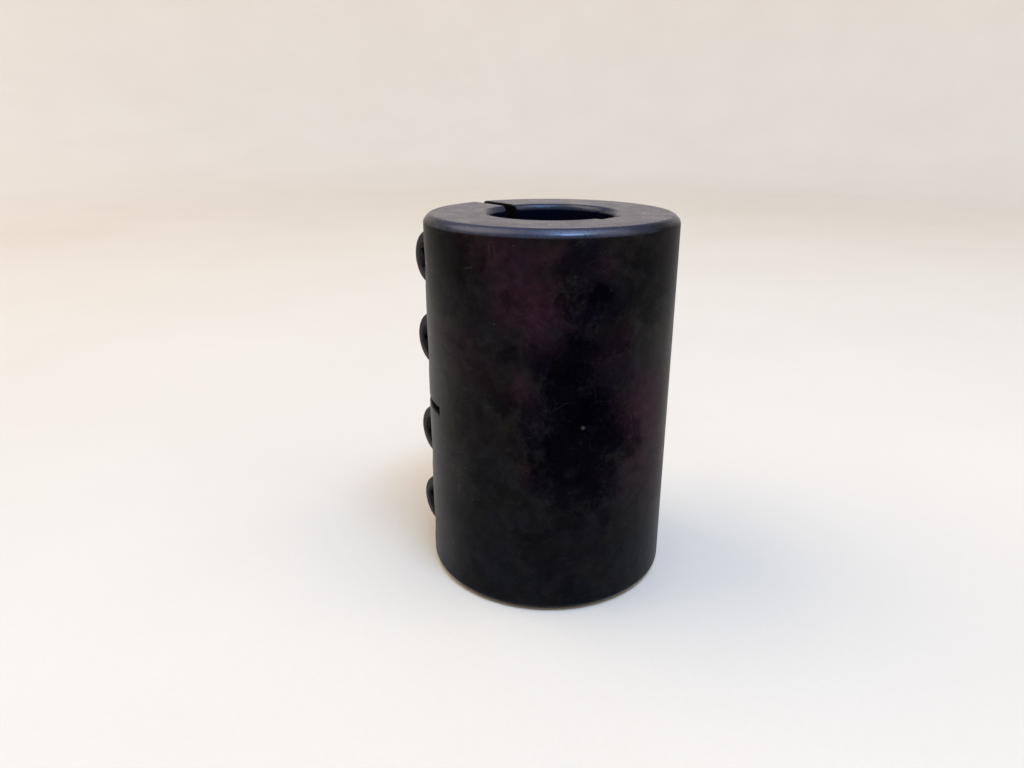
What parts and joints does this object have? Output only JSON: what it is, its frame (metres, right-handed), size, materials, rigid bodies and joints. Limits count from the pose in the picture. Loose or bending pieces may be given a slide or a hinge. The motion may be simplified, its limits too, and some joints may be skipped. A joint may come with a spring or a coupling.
{
  "type": "rigid sleeve coupling",
  "caption": "Black steel clamping sleeve that joins two shafts end to end: slit along its length, cross-slotted at the middle, with a keyway and socket head clamp screws.",
  "frame": {"origin": "on the bore axis at mid-length, where the two shaft ends meet", "axes": "+Z along the bore; +Y toward the slit; the keyway lies 9.5 degrees from -Y toward +X; the screws lie along X with their heads toward -X"},
  "size_m": [0.0508, 0.0507, 0.0762],
  "materials": {
    "sleeve_steel": "satin black oxide over turned steel",
    "screw_steel": "satin black oxide alloy steel"
  },
  "bodies": {
    "sleeve": {"sleeve": "sleeve_steel"},
    "clamp_screw_top_outer": {"clamp_screw_top_outer": "screw_steel"},
    "clamp_screw_top_inner": {"clamp_screw_top_inner": "screw_steel"},
    "clamp_screw_bottom_inner": {"clamp_screw_bottom_inner": "screw_steel"},
    "clamp_screw_bottom_outer": {"clamp_screw_bottom_outer": "screw_steel"}
  },
  "joints": [
    {"name": "clamp_screw_top_outer_slide", "type": "slide", "parent": "sleeve", "child": "clamp_screw_top_outer", "axis": [-1, 0, 0], "range_m": [0, 0.04]},
    {"name": "clamp_screw_top_inner_slide", "type": "slide", "parent": "sleeve", "child": "clamp_screw_top_inner", "axis": [-1, 0, 0], "range_m": [0, 0.04]},
    {"name": "clamp_screw_bottom_inner_slide", "type": "slide", "parent": "sleeve", "child": "clamp_screw_bottom_inner", "axis": [-1, 0, 0], "range_m": [0, 0.04]},
    {"name": "clamp_screw_bottom_outer_slide", "type": "slide", "parent": "sleeve", "child": "clamp_screw_bottom_outer", "axis": [-1, 0, 0], "range_m": [0, 0.04]}
  ]
}
